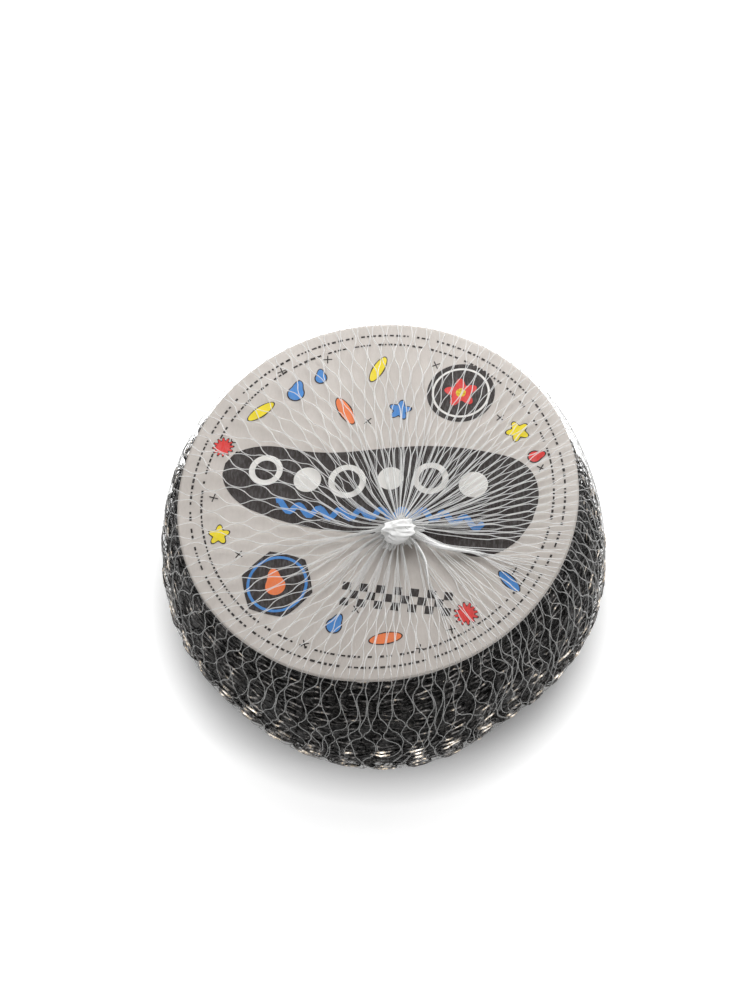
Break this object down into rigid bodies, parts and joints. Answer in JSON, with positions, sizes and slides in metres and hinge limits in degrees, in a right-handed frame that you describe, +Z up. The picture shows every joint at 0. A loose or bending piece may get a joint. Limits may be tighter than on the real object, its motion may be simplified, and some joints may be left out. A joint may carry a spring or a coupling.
{
  "type": "pot scourer",
  "caption": "Round pot scourer: a folded pad of knitted wire with a paper disc on top, both held in a stretched plastic net that is gathered and melted into a seal.",
  "frame": {"origin": "on the ground at the middle of the pad's flat base, below the middle of its widest circle", "axes": "+Z up out of the base, +X towards the thicker side of the pad, -Y towards the front, where the net is gathered"},
  "size_m": [0.0828, 0.0828, 0.0426],
  "materials": {
    "knitted_wire": "satin",
    "tie_wire": "satin",
    "card_paper": "satin",
    "net_plastic": "gloss",
    "melted_plastic": "satin"
  },
  "bodies": {
    "scrubber": {"outer_fold": "knitted_wire", "middle_fold": "knitted_wire", "inner_fold": "knitted_wire", "core_roll": "knitted_wire", "centre_tie": "tie_wire", "net_skirt": "net_plastic", "net_floor": "net_plastic", "bottom_seal": "melted_plastic"},
    "crown": {"net_crown": "net_plastic"},
    "card": {"printed_card": "card_paper"},
    "seal": {"top_seal": "melted_plastic"}
  },
  "joints": [
    {"name": "squeeze", "type": "slide", "parent": "scrubber", "child": "crown", "axis": [0, 0, -1], "range_m": [0, 0.0075], "stiffness_N_per_m": 500, "deforming": ["outer_fold", "middle_fold", "inner_fold", "core_roll", "net_skirt"]},
    {"name": "card_turn", "type": "hinge", "parent": "crown", "child": "card", "pos_m": [-0.0015, 0, 0.035], "axis": [-0.1045, 0, 0.9945], "continuous": true},
    {"name": "seal_tilt", "type": "hinge", "parent": "crown", "child": "seal", "pos_m": [0.00259, -0.0083, 0.03889], "axis": [0.9945, 0, 0.1045], "range_deg": [-20, 20], "stiffness_Nm_per_rad": 0.002}
  ]
}
